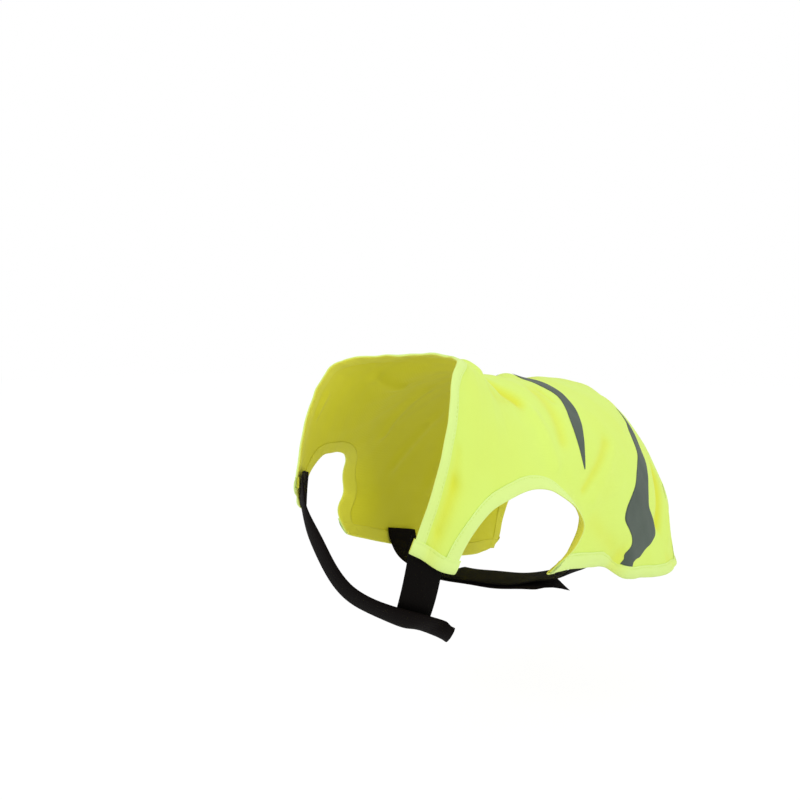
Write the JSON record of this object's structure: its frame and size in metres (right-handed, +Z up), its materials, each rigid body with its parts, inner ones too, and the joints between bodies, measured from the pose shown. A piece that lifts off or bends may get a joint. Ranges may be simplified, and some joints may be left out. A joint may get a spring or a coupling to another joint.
{
  "type": "reflective dog vest",
  "caption": "Fluorescent yellow-green dog vest in its hollow worn form, with bound edges, tapered grey reflective stripes and black hook-and-loop chest and belly straps.",
  "frame": {"origin": "inner face of the back panel at mid-back, where the vest rests on the wearer's back", "axes": "+Y along the back towards the tail, so the neck faces -Y; +X to the wearer's left; +Z up"},
  "size_m": [0.2035, 0.3832, 0.1898],
  "materials": {
    "fluorescent_polyester": "matt knitted polyester",
    "fluorescent_binding": "matt folded binding tape",
    "reflective_film": "heat-set reflective film, satin",
    "black_hook_and_loop": "matt hook-and-loop tape"
  },
  "bodies": {
    "root": {"back_panel": "fluorescent_polyester", "neck_binding": "fluorescent_binding", "rear_hem": "fluorescent_binding", "armhole_binding_left": "fluorescent_binding", "armhole_binding_right": "fluorescent_binding", "tab_hem_left": "fluorescent_binding", "tab_hem_right": "fluorescent_binding", "flank_hem_left": "fluorescent_binding", "flank_hem_right": "fluorescent_binding", "front_stripe_left": "reflective_film", "front_stripe_right": "reflective_film", "rear_stripe_left": "reflective_film", "rear_stripe_right": "reflective_film", "chest_strap_left": "black_hook_and_loop", "chest_strap_right": "black_hook_and_loop", "belly_strap_left": "black_hook_and_loop", "belly_strap_right": "black_hook_and_loop"}
  },
  "joints": []
}
